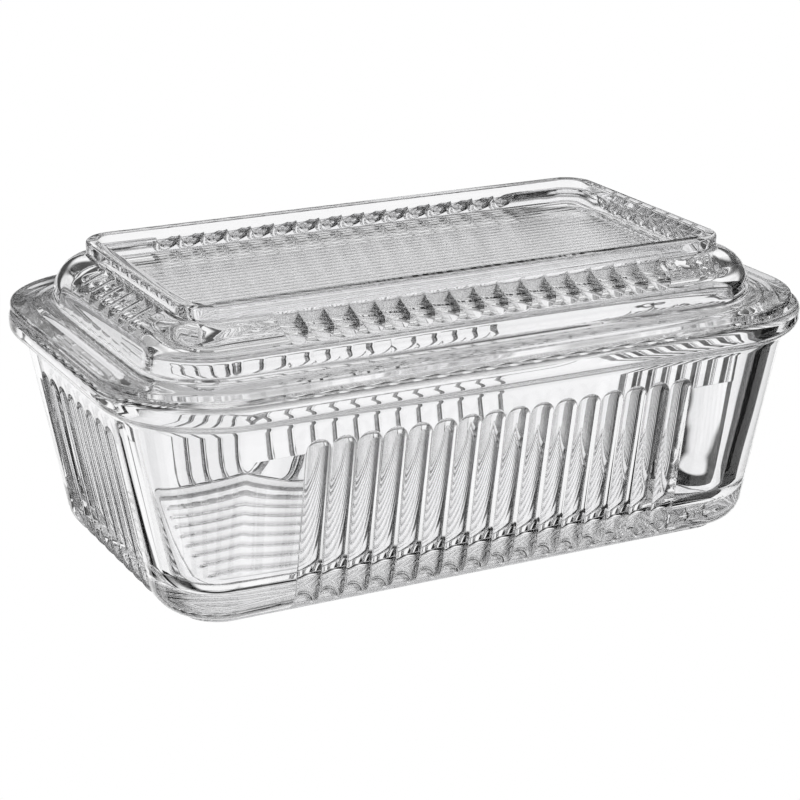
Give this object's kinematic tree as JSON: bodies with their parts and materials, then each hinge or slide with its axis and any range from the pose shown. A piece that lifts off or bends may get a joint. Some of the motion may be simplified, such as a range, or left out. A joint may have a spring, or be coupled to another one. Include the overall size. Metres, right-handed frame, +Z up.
{
  "type": "covered butter dish",
  "caption": "Oblong clear pressed-glass butter dish with fluted walls and a loose lid that has a raised grip frame around a sunk panel.",
  "frame": {"origin": "on the table, under the middle of the dish", "axes": "+X along the dish's length, +Y across it, +Z up"},
  "size_m": [0.17, 0.105, 0.07],
  "materials": {
    "dish_glass": "clear pressed glass, fire-polished",
    "lid_glass": "clear pressed glass, fire-polished"
  },
  "bodies": {
    "dish": {"dish": "dish_glass"},
    "lid": {"lid": "lid_glass"}
  },
  "joints": [
    {"name": "lid_lift", "type": "slide", "parent": "dish", "child": "lid", "axis": [0, 0, 1], "range_m": [0, 0.08]}
  ]
}
